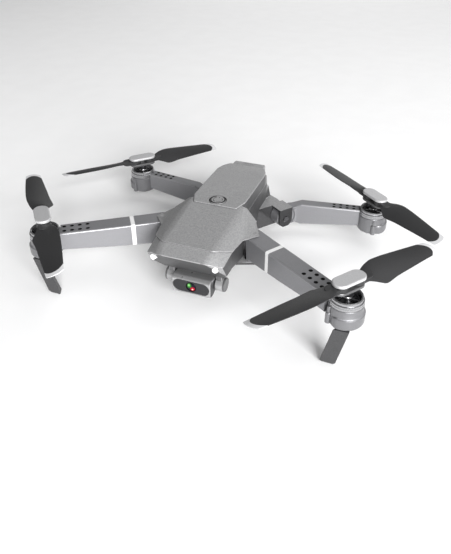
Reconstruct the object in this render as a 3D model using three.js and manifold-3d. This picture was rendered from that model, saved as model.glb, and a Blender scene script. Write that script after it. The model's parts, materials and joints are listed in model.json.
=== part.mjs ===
// Folding camera quadcopter, in millimetres, +Z up. The nose points along -Y and the right side is +X.
// The origin is on the flat belly, in the middle plane. The left side mirrors the right side, except
// for the four rotors, which are all alike and stand at angles of their own.
import * as THREE from 'three';
import { ConvexGeometry } from 'three/addons/geometries/ConvexGeometry.js';
import { mergeVertices } from 'three/addons/utils/BufferGeometryUtils.js';
import ManifoldModule from 'manifold-3d';

const wasm = await ManifoldModule();
wasm.setup();

// ---- driving dimensions -------------------------------------------------------------------------
const GAP = 0.3;            // clearance between neighbouring pieces
const PIN_R = 1.2;          // hinge pins and rotor shafts
const BORE_R = PIN_R + GAP;
const FINEST = 0.003;       // joining and cutting leaves slivers finer than this, which are merged away
const DEG = Math.PI / 180;

const FRONT = {             // front arms: each turns about an upright pin
  hinge: [30.7, -24.8], angle: -34, hub: [92.5, -61.6], collarTop: 33.8,
  top: 34.2, rootBottom: 18.7, tipBottom: 22.2, halfWidth: 6.15, bladeAngle: { right: 53, left: 48.5 },
};
const REAR = {              // rear arms: each turns about a level pin that lies diagonally
  hinge: [25, 48.3], pinZ: 8.3, pinAngle: -37, angle: 8.2, start: [38, 55], hub: [90, 61.8], collarTop: 18.6,
  top: 16.7, rootBottom: 0.3, tipBottom: 4.0, halfWidth: 4.1, bladeAngle: { right: -42.3, left: -46 },
  drum: { r: 6.5, length: 8 }, fork: { end: 10, reach: 8.1, halfWidth: 5.5, pocketR: 8.6 },
  pinHead: { r: 2.1, from: 9.3, to: 10.4 },
};
const POD = { r: 9.5, bulgeR: 10.6, depth: 16.8, wellR: 7.6, wellDepth: 12.2 };
const COLLAR = { r: 9.3, stepR: 8.7, height: 4.6 };
const ROTOR = { pivot: 5.6, plateR: 4.3, capR: 4.7, shaftBottom: -9, eyeR: 4.2, eyeZ: [5.7, 8.5], pinHoleR: 1.4 };
const BLADE_STATIONS = [    // radius, leading edge, trailing edge, pitch in degrees, thickness
  [8, 4.0, -4.0, 0, 2.4], [11, 4.6, -4.6, 4, 2.1], [15, 6.2, -6.6, 15, 1.8], [20, 7.4, -8.4, 19, 1.5],
  [28, 7.5, -7.5, 17, 1.3], [39.5, 6.7, -6.6, 14, 1.1], [51, 5.6, -5.8, 12, 0.9], [59.5, 4.4, -5.2, 10, 0.8],
  [62.5, 2.2, -4.4, 10, 0.7],
];
const SHELL_SPLIT = 33;     // height where the lower shell ends and the top pieces begin
const SOLE = -10;           // height of the soles that the aircraft stands on
const BAY = { x: 12, y: -6, floor: 17.6, roof: 40 };
const CAMERA = { y: -43.2, z: 7, pinR: PIN_R + 0.6, drumR: 4.5, lens: [-48.9, 6.7] };
const BUTTON = { y: -6.5, r: 5.3, bottom: 40.1, top: 42.95 };
const LAMP = { place: [19.3, -61.4, 30.1], angle: -70, r: 1.9 };
const TIP_SEAM = [          // outline that the upper shell and the lower shell's top share, from the nose back
  [16.2, -54.9], [24.5, -46.2], [26.7, -31.5], [27.3, -11], [17.6, -6.3],
];

const FINISH = {
  shell: { color: 0x97979b, roughness: 0.38, metalness: 0.45 },
  arm: { color: 0x77777b, roughness: 0.4, metalness: 0.4 },
  collar: { color: 0x58585c, roughness: 0.22, metalness: 0.6 },
  cap: { color: 0xbdbdc0, roughness: 0.35, metalness: 0.4 },
  black: { color: 0x1b1b1e, roughness: 0.55, metalness: 0.05 },
  blade: { color: 0x3a3a3d, roughness: 0.6, metalness: 0 },
  lens: { color: 0x0c1416, roughness: 0.05, metalness: 0 },
  lamp: { color: 0xf4f4f2, roughness: 0.3, metalness: 0 },
  steel: { color: 0xa8a8aa, roughness: 0.3, metalness: 1 },
  board: { color: 0x14502c, roughness: 0.6, metalness: 0 },
};

// ---- shapes -------------------------------------------------------------------------------------
// A closed three.js geometry, as a solid that can be joined and cut.
function solidOf(geometry) {
  geometry.deleteAttribute('normal');
  geometry.deleteAttribute('uv');
  const closed = mergeVertices(geometry, 1e-4);
  return new wasm.Manifold(new wasm.Mesh({
    numProp: 3,
    vertProperties: closed.attributes.position.array,
    triVerts: Uint32Array.from(closed.index.array),
  }));
}
// An upright cylinder, or a cone where rTop differs.
function cyl(r, z0, z1, [x, y] = [0, 0], n = 24, rTop = r) {
  const geometry = new THREE.CylinderGeometry(rTop, r, z1 - z0, n).rotateX(90 * DEG).rotateZ(90 * DEG);
  return solidOf(geometry.translate(x, y, (z0 + z1) / 2));
}
function box(x0, x1, y0, y1, z0, z1) {
  const geometry = new THREE.BoxGeometry(x1 - x0, y1 - y0, z1 - z0);
  return solidOf(geometry.translate((x0 + x1) / 2, (y0 + y1) / 2, (z0 + z1) / 2));
}
const hull = (points) => solidOf(new ConvexGeometry(points.map((p) => new THREE.Vector3(...p))));
function verticesOf(solid) {
  const flat = solid.getMesh().vertProperties;
  return Array.from({ length: flat.length / 3 }, (_, i) => [flat[3 * i], flat[3 * i + 1], flat[3 * i + 2]]);
}
const hullOf = (...solids) => hull(solids.flatMap(verticesOf));
const union = (...solids) => wasm.Manifold.union(solids);
const mirrored = (points) => points.flatMap(([x, y, z]) => [[x, y, z], [-x, y, z]]);
const bothSides = (solid) => solid.add(solid.mirror([1, 0, 0]));
const slab = (plan, z0, z1) => hull(plan.flatMap(([x, y]) => [[x, y, z0], [x, y, z1]]));
// Lays an upright solid down along the level direction `deg`, with its base at `at`.
const layAlong = (solid, deg, at) => solid.rotate([0, 90, 0]).rotate([0, 0, deg]).translate(at);
const crossRod = (r, x0, x1, n) => layAlong(cyl(r, x0, x1, [0, 0], n), 0, [0, CAMERA.y, CAMERA.z]);

// ---- scene graph --------------------------------------------------------------------------------
const drone = new THREE.Group();
drone.name = 'quadcopter';

function meshOf(name, solid, finish) {
  const data = solid.asOriginal().simplify(FINEST).getMesh();
  const geometry = new THREE.BufferGeometry();
  geometry.setAttribute('position', new THREE.BufferAttribute(new Float32Array(data.vertProperties), 3));
  geometry.setIndex(new THREE.BufferAttribute(new Uint32Array(data.triVerts), 1));
  const mesh = new THREE.Mesh(geometry, new THREE.MeshStandardMaterial(FINISH[finish]));
  mesh.name = name;
  return mesh;
}
function groupIn(parent, x, y, z, turn = 0) {
  const group = new THREE.Group();
  group.position.set(x, y, z);
  group.rotation.z = turn;
  parent.add(group);
  return group;
}

// ---- airframe -----------------------------------------------------------------------------------
function upperShellOuter() {
  const rim = TIP_SEAM.map(([x, y]) => [Math.min(x, 24), y, SHELL_SPLIT + GAP]);
  const shoulder = [[24.6, -46.2, 35], [27, -31.5, 35.2], [27.5, -11, 35]];
  const ridge = [[16.2, -54.9, 37.9], [17.6, -6.3, 42.4]];
  return hull(mirrored([...rim, ...shoulder, ...ridge]));
}

function rearCoverOuter(grow = 0) {
  const edge = [  // half width, length, height, from the front of the cover to the tail
    [14.4, -12.4, 42.4], [17.5, -3.4, 42.8], [17.4, 38, 42.1], [15.8, 44.8, 41.6], [12.6, 51.4, 40.8],
  ];
  return hull(mirrored(edge.flatMap(([x, y, top]) => {
    const wide = x + grow, along = y + Math.sign(y) * grow;
    return [[wide, along, top + grow], [wide, along, SHELL_SPLIT + GAP - grow]];
  })));
}

function upperShell() {
  const inside = hull(mirrored([
    [14.4, -51.5, 30], [22, -44, 30], [24.3, -31, 30], [24.6, -13.5, 30],
    [14.4, -51.5, 36.2], [22.2, -44, 33.8], [15.6, -14.5, 39.9], [24.3, -14.5, 33.6],
  ]));
  const ear = hull([
    [25, -36, 34.6], [25, -17, 34.6], [36, -25.6, 34.6], [36, -25.6, 35], [26.2, -35, 36.4], [26.2, -18, 36.4],
  ]);
  const armSweep = box(24.2, 40, -45, 0, 30, 34.5);
  const pinBore = cyl(BORE_R, 30, 35.5, FRONT.hinge, 10);
  return upperShellOuter()
    .subtract(union(bothSides(armSweep), inside, rearCoverOuter(GAP)))
    .add(bothSides(ear))
    .subtract(bothSides(pinBore));
}

function rearCover() {
  const inside = union(box(-15, 15, -8.5, 43, 30, 39.8), box(-BAY.x, BAY.x, 40, 60, 30, BAY.roof));
  const buttonWell = cyl(BUTTON.r + GAP, 38, 45, [0, BUTTON.y], 36);
  return rearCoverOuter().subtract(union(inside, buttonWell));
}

const lampBarrel = (r, back, front) => layAlong(cyl(r, back, front, [0, 0], 20), LAMP.angle, LAMP.place);

function noseCap() {
  const outer = hull(mirrored([
    [16, -55.4, 37.6], [14.4, -64.9, 35], [23.5, -60.2, 31.9], [24.3, -46.7, 34.2],
    [23.9, -54.5, 22.4], [24, -46.7, 22.4], [18.5, -46.7, 16], [18.5, -48.5, 15.6],
  ]));
  const inside = hull(mirrored([
    [13.5, -61, 32], [20.5, -57, 30], [21.5, -46, 32], [21.5, -46, 24], [20.5, -53, 24], [14, -46, 18.5],
  ]));
  const shell = upperShellOuter();
  const seam = union(shell, shell.translate([0, 0, -0.35]), shell.translate([0, -0.35, -0.35]));
  return outer.subtract(union(seam, inside, bothSides(lampBarrel(LAMP.r + GAP, -4, 3))));
}

// Places an upright solid along a rear arm's pin: its z runs along the pin and its x points down.
const alongRearPin = (solid, at) => layAlong(solid, REAR.pinAngle, [...at, REAR.pinZ]);

// The plate outside a rear arm's drum that holds the pin's outer end, and the bridge over the drum.
function rearFork() {
  const { drum, fork } = REAR, w = fork.halfWidth;
  const plate = slab([
    [6.1, -2.5], [6.1, 2.5], [3.5, -w], [3.5, w], [-fork.reach, -w], [-fork.reach, w],
  ], drum.length + GAP, fork.end);
  return plate.add(box(-fork.reach, -drum.r - GAP, -w, w, -2, fork.end));
}

function lowerShell() {
  const shoulders = hull(mirrored([
    [24, -46.3, SHELL_SPLIT], [24, -46.3, 22.4], [24, -28, 18.4], [24, -10, 18.4], [24, -10, SHELL_SPLIT],
    [17.2, -6.6, SHELL_SPLIT], [16, -46.3, 16], [14, -10, 16],
  ]));
  const spine = hull(mirrored([
    [17.2, -12, SHELL_SPLIT], [17.2, 44.5, SHELL_SPLIT], [13.3, 56.6, SHELL_SPLIT], [14.5, -37.5, 16],
    [14.5, 50, 16.5], [13.5, 58, 16.5], [12.8, -35.5, 0], [12.8, 56, 0],
  ]));
  const rearHousing = slab([
    [12, 32], [14.9, 34.9], [24.9, 48.2], [24.9, 52.5], [22.6, 54.8], [13, 60.2], [10, 60],
  ], 0.3, 16.4);
  const cheek = hull([
    [10, 50, 16], [14.3, 50, 16], [16.6, 57, 16], [13, 60.2, 16], [10, 60, 16],
    [12.5, 57.5, 25.5], [14.6, 58.3, 24], [12.6, 60.2, 24],
  ]);
  const frontEar = hullOf(cyl(5.5, 16.2, 18.2, FRONT.hinge), box(20, 22, -34, -16, 16.2, 18.2));
  const skid = hull(mirrored([[10, 37, 0.4], [10, 52, 0.4], [9, 41, SOLE], [9, 48, SOLE]]));

  const bay = box(-BAY.x, BAY.x, BAY.y, 80, BAY.floor, 60);
  const deck = slab(mirrored([[21, -44, 0], [21, -12, 0], [15, -8.5, 0]]), 19.4, 40);
  const gutter = box(-14.6, 14.6, -2, 43, 29, 40);
  const posts = union(cyl(1.6, 19, 21.6, [16, -38], 12), cyl(1.6, 19, 21.6, [16, -15], 12));
  const frontBore = cyl(BORE_R, 10, 24, FRONT.hinge, 10);
  const rearBore = union(
    cyl(BORE_R, -7.2, 12, [0, 0], 10), cyl(REAR.pinHead.r + GAP, REAR.pinHead.from - GAP, 12, [0, 0], 14),
  );
  const bores = union(frontBore, alongRearPin(rearBore, REAR.hinge));
  return union(shoulders, spine, bothSides(union(rearHousing, cheek, frontEar)), skid)
    .add(bothSides(alongRearPin(rearFork(), REAR.hinge)))
    .subtract(union(bay, deck, gutter, bothSides(bores)))
    .add(bothSides(posts));
}

function mainBoard() {
  const chips = [[-6, 4, -34, -24, 25], [7, 12, -30, -22, 24.6], [-14, -9, -20, -14, 26]];
  return union(box(-18.5, 18.5, -42, -11, 21.9, 23.3), ...chips.map(([x0, x1, y0, y1, top]) =>
    box(x0, x1, y0, y1, 23.2, top)));
}

const airframe = groupIn(drone, 0, 0, 0);
airframe.add(
  meshOf('lower_shell', lowerShell(), 'shell'),
  meshOf('upper_shell', upperShell(), 'shell'),
  meshOf('rear_cover', rearCover(), 'shell'),
  meshOf('nose_cap', noseCap(), 'shell'),
  meshOf('nose_lamp_right', lampBarrel(LAMP.r, -3.2, 0.6), 'lamp'),
  meshOf('nose_lamp_left', lampBarrel(LAMP.r, -3.2, 0.6).mirror([1, 0, 0]), 'lamp'),
  meshOf('main_board', mainBoard(), 'board'),
  meshOf('power_button', cyl(BUTTON.r, BUTTON.bottom, BUTTON.top, [0, BUTTON.y], 36), 'shell'),
);

// ---- battery and its catch ----------------------------------------------------------------------
function battery() {
  const pack = box(-11.6, 11.6, -4, 51, 18, 39.2);
  const grip = hull(mirrored([
    [11.6, 50.8, 18], [11.6, 50.8, 39.2], [11.6, 57.5, 18], [11.6, 57.5, 38.8], [9.5, 61, 19.5],
    [11, 60.4, 30], [9.5, 61, 37.5], [11.4, 52.6, 39.7], [11.2, 59, 39.4],
  ]));
  return pack.add(grip).subtract(box(-4.3, 4.3, 53.7, 58.3, 37, 41));
}
const batteryGroup = groupIn(airframe, 0, 0, 0);
batteryGroup.add(
  meshOf('battery_pack', battery(), 'shell'),
  meshOf('battery_catch', box(-4, 4, 54, 58, 38.1, 40), 'shell'),
);

// ---- camera on its tilting axle -----------------------------------------------------------------
// A round piece that faces forward from a point, as the lens does.
const facing = (solid, [x, y, z]) => solid.rotate([90, 0, 0]).translate([x, y, z]);

function cameraBody() {
  const front = [[-51.2, 1.2], [-51.2, 11.6], [-49.5, 0.6], [-49.5, 12.2]];
  const face = hull(mirrored(front.map(([y, z]) => [12.7, y, z])));
  const windowSeat = box(-11.6, 11.6, -53, -50.6, 2.3, 10.9);
  const axleBore = crossRod(CAMERA.pinR + GAP, -20, 20, 12);
  const lensWell = facing(cyl(3.6, -1, 3, [0, 0], 28), [0, -48.6, 6.7]);
  return hullOf(face, crossRod(4.8, -12.7, 12.7, 20)).subtract(union(windowSeat, axleBore, lensWell));
}
function cameraWindow() {
  const end = cyl(3.9, 0, 1.5);
  const oval = hullOf(end.translate([-7.4, 0, 0]), end.translate([7.4, 0, 0]));
  return facing(oval, [0, -50.9, 6.6]).subtract(facing(cyl(3.3, -1, 4, [0, 0], 28), [0, -50.2, 6.7]));
}
function cameraAxle() {
  const drum = crossRod(CAMERA.drumR, 13.2, 19.4, 20);
  const hanger = box(13.6, 16.6, CAMERA.y - 2.4, CAMERA.y + 2.4, CAMERA.z + 2, 15.6);
  return union(crossRod(CAMERA.pinR, -19, 19, 12), bothSides(union(drum, hanger)));
}
const cameraGroup = groupIn(airframe, 0, 0, 0);
cameraGroup.add(
  meshOf('camera_body', cameraBody(), 'shell'),
  meshOf('camera_window', cameraWindow(), 'black'),
  meshOf('camera_lens', facing(cyl(3.0, 0, 3.4, [0, 0], 28), [0, ...CAMERA.lens]), 'lens'),
);
airframe.add(meshOf('camera_axle', cameraAxle(), 'shell'));

// ---- rotors, each about its own shaft, with z measured from the top of the collar -------------------
// One blade section as a six-point aerofoil loop standing across the blade.
function bladeSection([r, lead, trail, pitch, thick]) {
  const mid = (ROTOR.eyeZ[0] + ROTOR.eyeZ[1]) / 2;
  const c = Math.cos(pitch * DEG), s = Math.sin(pitch * DEG);
  const loop = [[0, 0], [0.2, 0.56], [0.6, 0.5], [1, 0.1], [1, -0.1], [0.4, -0.36]];
  return loop.map(([along, up]) => {
    const across = lead + (trail - lead) * along, height = up * thick;
    return [r, across * c - height * s, mid + across * s + height * c];
  });
}
function blade() {
  const sections = BLADE_STATIONS.map(bladeSection);
  const wing = sections.slice(1).map((section, i) => hull([...sections[i], ...section]));
  const pivot = [ROTOR.pivot, 0];
  const eye = cyl(ROTOR.eyeR, ...ROTOR.eyeZ, pivot, 16);
  const rootStart = sections[0].flatMap(([x, y, z]) => [[x, y, z], [x + 0.4, y, z]]);
  const root = hullOf(cyl(3.4, ...ROTOR.eyeZ, pivot, 8), hull(rootStart));
  return union(eye, root, ...wing).subtract(cyl(ROTOR.pinHoleR, -20, 20, pivot, 10));
}
const atPivots = (shape) => union(shape([-ROTOR.pivot, 0]), shape([ROTOR.pivot, 0]));
const pill = (r, z0, z1) => hullOf(atPivots((pivot) => cyl(r, z0, z1, pivot, 16)));

function rotorHub() {
  const neck = cyl(2.6, 0.8, 4, [0, 0], 12);
  const shaft = cyl(PIN_R, ROTOR.shaftBottom, 2, [0, 0], 10);
  const pinHoles = atPivots((pivot) => cyl(ROTOR.pinHoleR, 0, 20, pivot, 10));
  return union(pill(ROTOR.plateR, 3.7, 5.4), neck, shaft).subtract(pinHoles);
}
function rotorCap() {
  const pins = atPivots((pivot) => cyl(1.1, 4.1, 9, pivot, 10));
  return union(pill(ROTOR.capR, 8.8, 10.1), pill(ROTOR.capR - 0.7, 10, 10.5), pins);
}
function collar() {
  const rings = union(cyl(COLLAR.r, -COLLAR.height, -1.9), cyl(COLLAR.stepR, -2, 0));
  return rings.subtract(cyl(POD.wellR, -10, 5));
}
function motor() {
  const can = union(cyl(7.1, -11.8, -2.6), cyl(6.2, -2.7, -1.8), cyl(2.8, -2, -0.2, [0, 0], 12));
  return can.subtract(cyl(BORE_R, ROTOR.shaftBottom - 0.4, 5, [0, 0], 10));
}

// ---- arms, each about its own hinge, with z measured from the belly ---------------------------------
const fromHinge = (arm, [x, y]) => [x - arm.hinge[0], y - arm.hinge[1]];

// The motor pod under the collar, open at the top, with a fuller lower half.
function pod(arm, at) {
  const top = arm.collarTop - COLLAR.height - GAP, bottom = arm.collarTop - POD.depth;
  return union(
    cyl(POD.r, bottom + 1.6, top, at),
    cyl(POD.bulgeR, bottom + 1.6, bottom + 6.6, at),
    cyl(POD.r - 0.6, bottom, bottom + 1.6, at, 24, POD.bulgeR),
    cyl(POD.bulgeR, bottom + 6.6, bottom + 8.4, at, 24, POD.r),
  );
}
function podWell(arm, at) {
  const seat = arm.collarTop - COLLAR.height - GAP;
  return cyl(POD.wellR, arm.collarTop - POD.wellDepth, seat + 1, at).add(cyl(COLLAR.r + GAP, seat, 60, at));
}
// The corners of a chamfered cross-section, at a distance along the direction `deg` from a point in plan.
function armSection([x, y], deg, along, halfWidth, bottom, top) {
  const c = Math.cos(deg * DEG), s = Math.sin(deg * DEG);
  const under = 1.1, over = 0.6, w = halfWidth;
  const half = [[w - under, bottom], [w, bottom + under], [w, top - over], [w - over, top]];
  return half.flatMap(([v, z]) => [v, -v].map((side) => [x + along * c - side * s, y + along * s + side * c, z]));
}
// Two rows of blind vent holes in the top of an arm.
function ventHoles([x, y], deg, stations, spacing, top, r) {
  const c = Math.cos(deg * DEG), s = Math.sin(deg * DEG);
  return union(...stations.flatMap((u) => [-spacing / 2, spacing / 2].map((v) =>
    cyl(r, top - 2, top + 1, [x + u * c - v * s, y + u * s + v * c], 8))));
}

function frontArm() {
  const { angle, halfWidth: w, top, rootBottom, tipBottom } = FRONT;
  const hub = fromHinge(FRONT, FRONT.hub);
  const section = (along, half, bottom) => armSection([0, 0], angle, along, half, bottom, top);
  const knuckleR = 6.1;
  const knuckle = cyl(knuckleR, rootBottom - 0.2, top - 0.1, [0, 0], 20);
  const root = hullOf(
    cyl(knuckleR, rootBottom + 1.4, top - 0.1, [0, 0], 20),
    hull([...section(6, w, rootBottom + 0.2), ...section(9, w, rootBottom + 0.1)]),
  );
  const inner = hull([...section(9, w, rootBottom + 0.1), ...section(30, w, rootBottom + 1.2)]);
  const outer = hull([...section(30, w, rootBottom + 1.2), ...section(62.5, w - 0.4, tipBottom)]);
  const legBoss = box(57.1, 66.7, -47.1, -37.2, 17.2, 28);
  const vents = ventHoles([0, 0], angle, [46, 50.7, 55.4, 60], 5, top, 1.3);
  return union(knuckle, root, inner, outer, pod(FRONT, hub), legBoss)
    .subtract(union(podWell(FRONT, hub), vents, cyl(BORE_R, 0, 60, [0, 0], 10)));
}
// Landing leg: a flat bar that leans inward and back below the front pod.
function frontLeg() {
  const outline = (points, z) => points.map(([x, y]) => [...fromHinge(FRONT, [x, y]), z]);
  return hull([
    ...outline([[88.6, -71.7], [97.2, -71.7], [97.2, -68.2], [90.8, -68.2]], 16.9),
    ...outline([[83, -69.2], [91.9, -69.2], [91.9, -64.8], [85.2, -64.8]], SOLE + 1.4),
    ...outline([[84.2, -68.6], [90.7, -68.6], [90.7, -65.2], [86, -65.2]], SOLE),
  ]);
}

function rearArm() {
  const { pinAngle, angle, halfWidth: w, top, rootBottom, tipBottom, drum, fork } = REAR;
  const hub = fromHinge(REAR, REAR.hub), start = fromHinge(REAR, REAR.start);
  const section = (along, bottom) => armSection(start, angle, along, w, bottom, top);
  const root = alongRearPin(cyl(drum.r, GAP, drum.length, [0, 0], 20), [0, 0]);
  const neck = hull([...armSection([4, 3.3], 12, 0, 3.6, 2.2, 14.4), ...armSection(start, angle, 0, w, 2.2, 14.4)]);
  const haunch = hull([...armSection([7.5, 4.9], 10, 0, w, 3, 13.8), ...section(2.6, rootBottom)]);
  const beam = hull([...section(2.6, rootBottom), ...section(44, tipBottom)]);
  const vents = ventHoles(start, angle, [25.5, 30.1, 34.7, 39.3], 3.5, top, 1.2);
  const pinWay = alongRearPin(cyl(BORE_R, -5, 20, [0, 0], 10), [0, 0]);
  const forkPocket = alongRearPin(cyl(fork.pocketR, drum.length, fork.end + 4), [0, 0]);
  const facing = [Math.cos(pinAngle * DEG), Math.sin(pinAngle * DEG), 0];
  return union(hullOf(root, neck), haunch, beam, pod(REAR, hub))
    .trimByPlane(facing, GAP)
    .subtract(union(podWell(REAR, hub), vents, pinWay, forkPocket));
}

const frontPin = () => cyl(PIN_R, 16.4, 35.2, [0, 0], 10);
function rearPin() {
  const { r, from, to } = REAR.pinHead;
  return alongRearPin(union(cyl(PIN_R, -6.8, from + 0.2, [0, 0], 10), cyl(r, from, to, [0, 0], 14)), [0, 0]);
}

// One corner of the aircraft: the hinge, the arm that turns on it, and the rotor at the arm's end.
function addCorner(end, arm, hand, pieces) {
  const right = hand === 'right', corner = `${end}_${hand}`;
  const handed = (solid) => (right ? solid : solid.mirror([1, 0, 0]));
  const side = right ? 1 : -1;
  const hinge = groupIn(airframe, side * arm.hinge[0], arm.hinge[1], 0);
  pieces.forEach(([name, solid, finish]) => hinge.add(meshOf(`${name}_${corner}`, handed(solid), finish)));

  const [x, y] = fromHinge(arm, arm.hub);
  const tip = groupIn(hinge, side * x, y, arm.collarTop);
  tip.add(meshOf(`collar_${corner}`, collar(), 'collar'), meshOf(`motor_${corner}`, motor(), 'black'));

  const turn = arm.bladeAngle[hand] * DEG;
  const rotor = groupIn(tip, 0, 0, 0, right ? turn : Math.PI - turn);
  const oppositeBlade = meshOf(`blade_b_${corner}`, blade(), 'blade');
  oppositeBlade.rotation.z = Math.PI;
  rotor.add(
    meshOf(`rotor_hub_${corner}`, rotorHub(), 'black'),
    meshOf(`rotor_cap_${corner}`, rotorCap(), 'cap'),
    meshOf(`blade_a_${corner}`, blade(), 'blade'),
    oppositeBlade,
  );
}
for (const hand of ['right', 'left']) {
  addCorner('front', FRONT, hand, [
    ['arm', frontArm(), 'arm'], ['leg', frontLeg(), 'arm'], ['arm_pin', frontPin(), 'steel'],
  ]);
  addCorner('rear', REAR, hand, [['arm', rearArm(), 'arm'], ['arm_pin', rearPin(), 'steel']]);
}

export default drone;
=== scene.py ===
"""Folding camera quadcopter: its looks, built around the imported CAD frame."""
import json
import math

import bmesh
import bpy
from mathutils import Matrix, Vector


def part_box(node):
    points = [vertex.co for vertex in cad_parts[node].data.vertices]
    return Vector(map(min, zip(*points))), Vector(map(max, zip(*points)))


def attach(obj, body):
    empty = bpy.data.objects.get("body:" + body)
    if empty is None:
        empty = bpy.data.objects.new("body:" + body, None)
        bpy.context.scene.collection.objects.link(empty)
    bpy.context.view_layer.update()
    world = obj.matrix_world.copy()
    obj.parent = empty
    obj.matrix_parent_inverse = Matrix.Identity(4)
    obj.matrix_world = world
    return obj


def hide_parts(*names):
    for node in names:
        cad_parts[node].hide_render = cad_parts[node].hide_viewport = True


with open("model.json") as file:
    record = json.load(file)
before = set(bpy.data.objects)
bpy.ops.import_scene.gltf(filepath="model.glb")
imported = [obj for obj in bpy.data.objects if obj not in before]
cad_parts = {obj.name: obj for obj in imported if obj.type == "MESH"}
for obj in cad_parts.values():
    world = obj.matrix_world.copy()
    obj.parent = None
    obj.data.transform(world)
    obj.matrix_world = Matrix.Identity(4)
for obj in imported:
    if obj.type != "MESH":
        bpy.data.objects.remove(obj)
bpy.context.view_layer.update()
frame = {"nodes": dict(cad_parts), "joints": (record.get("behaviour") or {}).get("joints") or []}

# ---- driving dimensions, in millimetres unless they say otherwise ------------------------------------
MM = 0.001
FLOOR_DROP = 10.0                # the leg soles are this far below the belly
SEAM = 0.42                      # the gap between the nose cap and the upper shell
SKIN_Z = 34.5                    # the upper shell's skin lies above this, its sides below
SKIN_HALF = 18                   # the flat top and its ridges are narrower than this on each side
FORK = {"from_x": 27.5, "from_y": 35}    # the rear hinges' outer plates lie beyond this
EAR = {"inner_x": 25, "base_z": 34.6, "width_scale": 0.8, "height_scale": 0.5}
LAMP_SIZE = {"bulb_r": 1.8, "well_r": 2.15, "scoop_r": 3.6, "azimuth": 70, "stand_out": 1.3}
BUTTON = {"r": 5.05, "well_r": 5.6, "mark_r": (4.05, 5.0), "inner_mark_r": (2.7, 3.1), "mark_proud": 0.05}
BAY = {"gap": 0.4, "front_y": -9, "rear_y": 70, "floor_z": 20}
CASE = {"low": 1.4, "front_top": 11.4, "back_top": 12.3, "back_y": -49.6, "back_low": 0.6, "face_z": 6.6}
BARREL_R = 4.8                   # the round back of the camera's case, about its tilt axis
WINDOW = {"half_length": 7.5, "r": 4.15, "seat": 0.1}
LENS_SIZE = {"r": 2.9, "well_r": 3.35, "rise": 0.75, "seat": -0.5}
HANGER = ((13.6, -2.6, 2), (17.4, 2.6, 9.2))     # two corners, from the tilt axis
AXLE = {"r": 1.8, "half": 13.4, "drum_r": 4.5, "rim_r": 4.3, "drum_from": 13.2}
ARM_START = {"front": (30.7, -24.8), "rear": (38, 55)}  # on the right-hand side, in plan
ARM_AZIMUTH = {"front": -34, "rear": 8.2}               # degrees
ARM_CUT = 10.5                   # the CAD arm is cut this far short of the rotor's axis
ARM_JOIN = 4.5                   # and runs on this much to meet the pod
POD = {"r": 9.5, "bulge": 1.1, "depth": 16.8, "well_r": 7.6, "well_depth": 12.2, "seat": 4.9, "ledge": 9.2}
POD_BARS = ((1.05, -9.6, -5.6), (1.6, 0.7 - POD["depth"], -POD["ledge"]))    # radius, low end, high end
BAR_AZIMUTH = {"front": 218, "rear": 286}               # degrees, on the right-hand side
COLLAR = {"r": 9.3, "step_r": 8.75, "height": 4.6, "gap": 0.3}
STRIPE = {"from_hinge": 18.7, "width": 2.5, "proud": 0.06}
VENT = {  # distances from the arm's start, row spacing, radius, and the height of the arm's top
    "front": ((46, 50.7, 55.4, 60), 5.0, 1.3, 34.2),
    "rear": ((25.5, 30.1, 34.7, 39.3), 3.5, 1.2, 16.7),
}
BLADE_PIN_AT = 5.6               # from the rotor's axis
BLADE_PIN_R = 1.1
EYE = {"low": 5.7, "high": 8.5, "r": 4.2, "pin_r": 1.4}
BLADE_LENGTH = 62.5
BLADE_STATIONS = [  # radius, leading edge, trailing edge, pitch in degrees, thickness
    (7.0, 3.2, -3.2, 0, 2.2),
    (11, 4.5, -4.5, 5, 2.0),
    (15, 6.2, -6.4, 14, 1.7),
    (18.5, 7.1, -8.5, 18, 1.5),
    (21, 7.5, -8.7, 19, 1.45),
    (28, 7.5, -7.6, 17, 1.3),
    (39.5, 6.7, -6.7, 14, 1.1),
    (51, 5.6, -5.8, 12, 0.9),
    (62.5, 4.4, -5.0, 10, 0.75),
]
MOTOR_SIZE = {"poles": 9, "spokes": 6, "boss_r": 2.8, "bell_r": 7.1, "bell_bore": 6.4}
EDGE_WIDTH = 0.4                 # the widest strip that still counts as an edge, which takes a painted highlight
LONG_EDGE = 15                   # the shortest edge that takes a painted highlight on an arm or on the nose

joints = {joint["name"]: joint for joint in frame["joints"]}
CORNERS = [(end, hand) for end in ("front", "rear") for hand in ("right", "left")]


# ---- meshes ---------------------------------------------------------------------------------------
def from_cad(node):
    """A copy of a CAD node's mesh in millimetres, with its flat faces whole."""
    bm = bmesh.new()
    bm.from_mesh(frame["nodes"][node].data)
    bmesh.ops.scale(bm, vec=(1 / MM,) * 3, verts=bm.verts)
    bmesh.ops.remove_doubles(bm, verts=bm.verts, dist=0.002)
    bmesh.ops.dissolve_limit(bm, angle_limit=math.radians(0.6), verts=bm.verts, edges=bm.edges)
    return bm


def hull(points):
    """The convex solid around some points, with its flat faces whole."""
    bm = bmesh.new()
    for point in points:
        bm.verts.new(point)
    made = bmesh.ops.convex_hull(bm, input=bm.verts)
    loose = set(made["geom_interior"] + made["geom_unused"])
    bmesh.ops.delete(bm, geom=[g for g in loose if isinstance(g, bmesh.types.BMVert)], context="VERTS")
    bmesh.ops.dissolve_limit(bm, angle_limit=math.radians(0.6), verts=bm.verts, edges=bm.edges)
    bmesh.ops.recalc_face_normals(bm, faces=bm.faces)
    return bm


def points_of(node, keep=lambda p: True):
    """A CAD node's corners in millimetres."""
    corners = (v.co / MM for v in frame["nodes"][node].data.vertices)
    return [p for p in corners if keep(p)]


def box(low, high):
    return hull([(x, y, z) for x in (low[0], high[0]) for y in (low[1], high[1]) for z in (low[2], high[2])])


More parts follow.
